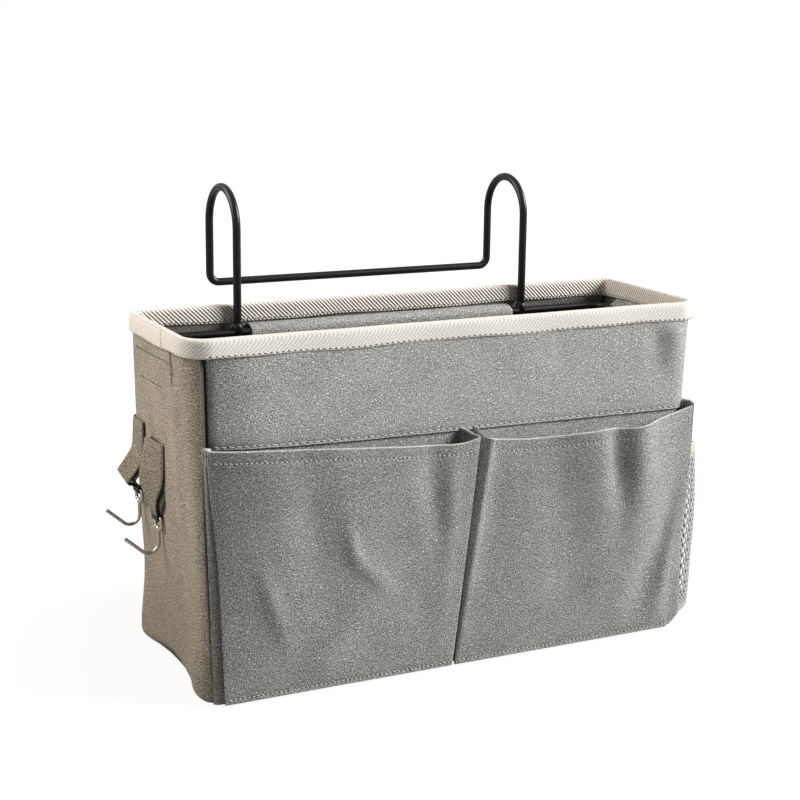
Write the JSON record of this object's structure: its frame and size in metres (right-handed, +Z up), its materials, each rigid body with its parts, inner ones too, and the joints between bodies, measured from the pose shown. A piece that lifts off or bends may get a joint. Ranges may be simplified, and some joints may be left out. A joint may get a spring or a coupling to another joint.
{
  "type": "bedside caddy",
  "caption": "Open canvas box caddy on a bent wire bed-rail hanger, with bellows front pockets, strap-hung side hooks, a net end pocket and a taped rim.",
  "frame": {"origin": "middle of the base, on the face that the bag stands on", "axes": "+Z up, +X to the right seen from the front, -Y towards the front pockets"},
  "size_m": [0.3696, 0.1645, 0.2824],
  "materials": {
    "canvas": "grey cotton and linen canvas, plain weave with pale slubs",
    "lining": "grey plain cotton",
    "board": "stiff sheet between the cloth plies",
    "binding_tape": "cream herringbone cotton tape",
    "black_wire": "black powder coat on round steel wire",
    "plated_steel": "bright nickel plate on steel wire",
    "net": "pale grey knitted polyester net"
  },
  "bodies": {
    "bag": {"bottom_panel": "canvas", "front_panel": "canvas", "back_panel": "canvas", "left_panel": "canvas", "right_panel": "canvas", "upper_band": "canvas", "left_pocket": "canvas", "right_pocket": "canvas", "back_sleeve": "canvas", "left_sleeve": "canvas", "right_sleeve": "canvas", "front_hook_tab": "canvas", "rear_hook_tab": "canvas", "lining_bottom": "lining", "lining_front": "lining", "lining_back": "lining", "lining_left": "lining", "lining_right": "lining", "front_board": "board", "back_board": "board", "base_board": "board", "hanger": "black_wire", "rim_frame": "black_wire", "left_weld": "black_wire", "right_weld": "black_wire", "net_face": "net", "net_front_gusset": "net", "net_rear_gusset": "net", "rim_binding": "binding_tape", "net_tape": "binding_tape"},
    "front_hook": {"front_hook": "plated_steel"},
    "rear_hook": {"rear_hook": "plated_steel"}
  },
  "joints": [
    {"name": "front_hook_swing", "type": "hinge", "parent": "bag", "child": "front_hook", "pos_m": [-0.16703, 0.00874, 0.094], "axis": [0, 1, 0], "range_deg": [0, 100]},
    {"name": "rear_hook_swing", "type": "hinge", "parent": "bag", "child": "rear_hook", "pos_m": [-0.1673, 0.04374, 0.102], "axis": [0, 1, 0], "range_deg": [0, 100]}
  ]
}
